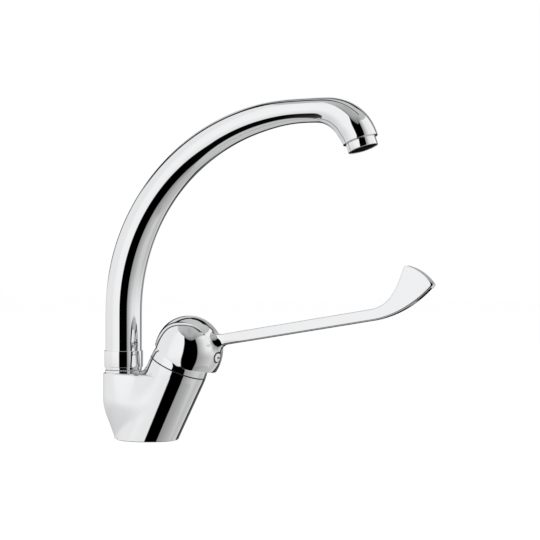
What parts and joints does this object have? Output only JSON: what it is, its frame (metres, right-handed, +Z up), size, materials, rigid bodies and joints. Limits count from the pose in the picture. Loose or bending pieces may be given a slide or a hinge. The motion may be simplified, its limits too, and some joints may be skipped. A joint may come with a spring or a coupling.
{
  "type": "elbow lever tap",
  "caption": "Deck mounted mixer tap: a leaning housing, a swivelling swan neck spout behind it, and a domed cap with one long elbow lever that ends in an upturned paddle.",
  "frame": {"origin": "middle of the housing's round base, on the deck face", "axes": "+Z up from the deck, +X towards the user, where the lever and the stored spout point; +Y to the user's right, the cold side"},
  "size_m": [0.297, 0.0625, 0.2792],
  "materials": {
    "chrome_plate": "polished",
    "black_rubber": "matt",
    "pale_slide": "satin",
    "raw_brass": "machined",
    "plain_steel": "machined",
    "grey_cartridge": "matt",
    "white_ceramic": "lapped",
    "screen_plastic": "satin",
    "plug_plastic": "glossy",
    "red_mark": "glossy",
    "blue_mark": "glossy"
  },
  "bodies": {
    "tap_body": {"body": "chrome_plate", "base_gasket": "black_rubber", "spout_collar": "chrome_plate", "slide_ring": "pale_slide", "spout_lock_screw": "plain_steel", "cartridge_nut": "raw_brass", "cover_ring": "chrome_plate", "cartridge_housing": "grey_cartridge", "cartridge_base": "grey_cartridge", "port_seals": "black_rubber", "fixed_disc": "white_ceramic"},
    "spout_body": {"spout": "chrome_plate", "spout_sleeve": "chrome_plate", "spout_spigot": "raw_brass", "spout_seals": "black_rubber", "aerator_housing": "chrome_plate", "aerator_screen": "screen_plastic", "aerator_washer": "black_rubber"},
    "rotor": {"stem_guide": "grey_cartridge", "stem_pin": "plain_steel"},
    "disc": {"moving_disc": "white_ceramic", "disc_carrier": "grey_cartridge"},
    "lever_body": {"stem": "plain_steel", "lever": "chrome_plate", "set_screw": "plain_steel", "indicator_plug": "plug_plastic", "red_dot": "red_mark", "blue_dot": "blue_mark"}
  },
  "joints": [
    {"name": "spout_swivel", "type": "hinge", "parent": "tap_body", "child": "spout_body", "pos_m": [-0.023, 0, 0.0555], "axis": [0, 0, 1], "continuous": true},
    {"name": "lever_turn", "type": "hinge", "parent": "tap_body", "child": "rotor", "pos_m": [0.0253, 0, 0.05551], "axis": [0.4147, 0, 0.91], "range_deg": [-35, 55]},
    {"name": "lever_lift", "type": "hinge", "parent": "rotor", "child": "lever_body", "pos_m": [0.0253, 0, 0.05551], "axis": [-0.158, -0.9848, 0.072], "range_deg": [0, 18]},
    {"name": "disc_slide", "type": "slide", "parent": "rotor", "child": "disc", "axis": [0.8961, -0.1736, -0.4084], "range_m": [0, 0.0038]}
  ],
  "couplings": [
    {"joint": "disc_slide", "follows": "lever_lift", "m_per_rad": 0.0118}
  ]
}
